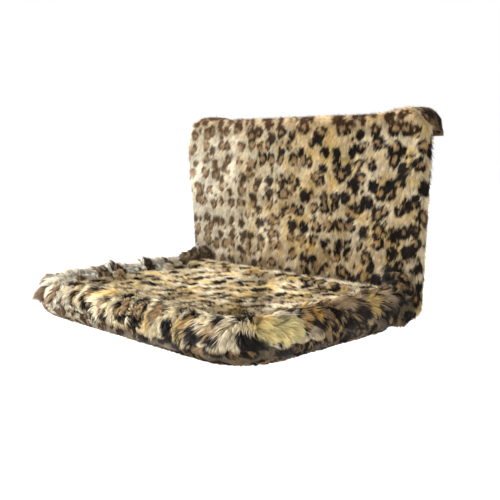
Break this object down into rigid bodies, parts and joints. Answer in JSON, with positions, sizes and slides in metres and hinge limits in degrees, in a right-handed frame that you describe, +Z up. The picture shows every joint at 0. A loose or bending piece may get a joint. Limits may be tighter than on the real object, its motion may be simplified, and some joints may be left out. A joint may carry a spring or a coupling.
{
  "type": "cat radiator bed",
  "caption": "Plush sling bed for a cat that hangs on a radiator by two hooks, with a padded back and a rolled-rim seat that folds up for storage.",
  "frame": {"origin": "middle of the radiator's top front edge: centre of the width, at the plane the back rests against, level with the underside of the hooks' pads", "axes": "+X to the right as seen from in front, +Y into the wall, +Z up; the seat reaches out along -Y and hangs below the origin"},
  "size_m": [0.4634, 0.358, 0.2705],
  "materials": {
    "plush": "long-pile leopard plush, golden cream with dark broken spots",
    "plush_rim": "longer tufted leopard plush on the rim",
    "lining": "dark brown woven lining",
    "underside": "short-pile dark leopard plush under the seat",
    "wadding": "white polyester wadding",
    "foam": "grey closed-cell foam sleeve",
    "tube": "satin black powder coat on steel tube",
    "zinc": "bright zinc plate",
    "vinyl": "soft vinyl",
    "rubber": "moulded black rubber",
    "cap": "matt black polyethylene",
    "nylon": "natural nylon",
    "closure": "black hook-and-loop tape"
  },
  "bodies": {
    "back": {"left_upright": "tube", "right_upright": "tube", "top_rail": "tube", "lower_rail": "tube", "foot_caps": "cap", "left_hook": "zinc", "right_hook": "zinc", "left_hook_pad": "vinyl", "right_hook_pad": "vinyl", "left_hinge_bracket": "tube", "right_hinge_bracket": "tube", "pivot_bolts": "zinc", "pivot_nuts": "zinc", "pivot_spacers": "nylon", "left_bumper": "rubber", "right_bumper": "rubber", "back_padding": "wadding", "back_cover": "plush", "back_lining": "lining", "hook_flap": "plush", "left_hinge_pocket": "plush", "right_hinge_pocket": "plush"},
    "seat": {"left_seat_arm": "tube", "right_seat_arm": "tube", "front_hoop": "tube", "seat_rear_rail": "tube", "left_hinge_lug": "zinc", "right_hinge_lug": "zinc", "rim_foam": "foam", "rim_cover": "plush_rim", "sleeping_surface": "plush_rim", "rear_roll": "plush", "seat_pad": "wadding", "underside_panel": "underside", "closure_loop_tape": "closure", "closure_hook_tape": "closure"}
  },
  "joints": [
    {"name": "seat_fold", "type": "hinge", "parent": "back", "child": "seat", "pos_m": [0, -0.042, -0.232], "axis": [-1, 0, 0], "range_deg": [0, 75]}
  ]
}
